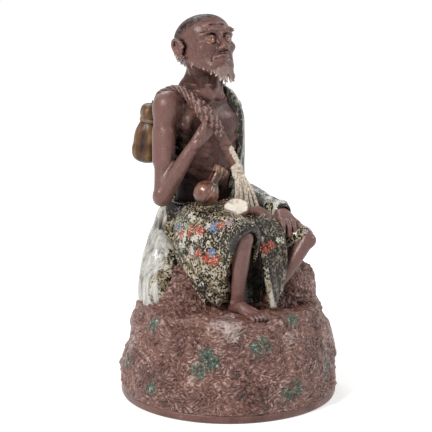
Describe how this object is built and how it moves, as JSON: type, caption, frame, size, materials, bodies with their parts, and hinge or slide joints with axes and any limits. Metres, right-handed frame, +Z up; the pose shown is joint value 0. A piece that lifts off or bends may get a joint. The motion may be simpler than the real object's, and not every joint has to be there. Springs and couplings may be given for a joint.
{
  "type": "seated figure ornament",
  "caption": "Bearded wanderer seated on a hollow rock, hand-built in unglazed clay, with an enamelled robe, a rope over one shoulder and gourds; a free-standing ornament.",
  "frame": {"origin": "middle of the rock's foot, on the surface that it stands on", "axes": "+Z up; the figure looks along -Y, so its right hand is on the -X side"},
  "size_m": [0.218, 0.218, 0.3796],
  "materials": {
    "rock_clay": "unglazed mauve-brown clay, tooled and rough, soft satin on the high spots",
    "skin_clay": "unglazed mauve-brown clay, smoothed and burnished to a soft satin",
    "hair_clay": "combed clay with a thin grey slip",
    "eye_gilt": "gilt",
    "robe_enamel": "mottled beige and olive enamel on black, with small brushed blossoms",
    "pale_glaze": "grey-white glaze with dark streaks",
    "rope_clay": "unglazed brown clay, rubbed pale on the ridges",
    "ivory_glaze": "ivory slip, matt and crackled",
    "flask_glaze": "glossy red-brown glaze",
    "gourd_glaze": "golden-brown lustre glaze"
  },
  "bodies": {
    "root": {"foot_rim": "rock_clay", "rock_base": "rock_clay", "side_boulder": "rock_clay", "head": "skin_clay", "torso": "skin_clay", "right_ear": "skin_clay", "left_ear": "skin_clay", "right_upper_arm": "skin_clay", "right_forearm": "skin_clay", "right_hand": "skin_clay", "left_hand": "skin_clay", "right_leg": "skin_clay", "left_leg": "skin_clay", "right_foot": "skin_clay", "beard": "hair_clay", "hair_fringe": "hair_clay", "right_eyebrow": "hair_clay", "left_eyebrow": "hair_clay", "right_eye": "eye_gilt", "left_eye": "eye_gilt", "robe_back_drape": "robe_enamel", "robe_right_thigh": "robe_enamel", "robe_left_thigh": "robe_enamel", "robe_lap": "robe_enamel", "robe_right_panel": "robe_enamel", "robe_inner_fold": "robe_enamel", "robe_front_flap": "robe_enamel", "robe_mantle": "robe_enamel", "left_upper_sleeve": "robe_enamel", "left_lower_sleeve": "robe_enamel", "robe_tail": "pale_glaze", "robe_lapel": "pale_glaze", "shoulder_rope": "rope_clay", "sash_end": "rope_clay", "rope_end": "ivory_glaze", "rope_knot": "ivory_glaze", "rope_strand_1": "ivory_glaze", "rope_strand_2": "ivory_glaze", "rope_strand_3": "ivory_glaze", "rope_strand_4": "ivory_glaze", "rope_strand_5": "ivory_glaze", "toggle": "ivory_glaze", "gourd_tie": "ivory_glaze", "flask": "flask_glaze", "flask_stopper": "flask_glaze", "back_gourd": "gourd_glaze", "back_gourd_top": "gourd_glaze", "gourd_stem": "gourd_glaze"}
  },
  "joints": []
}
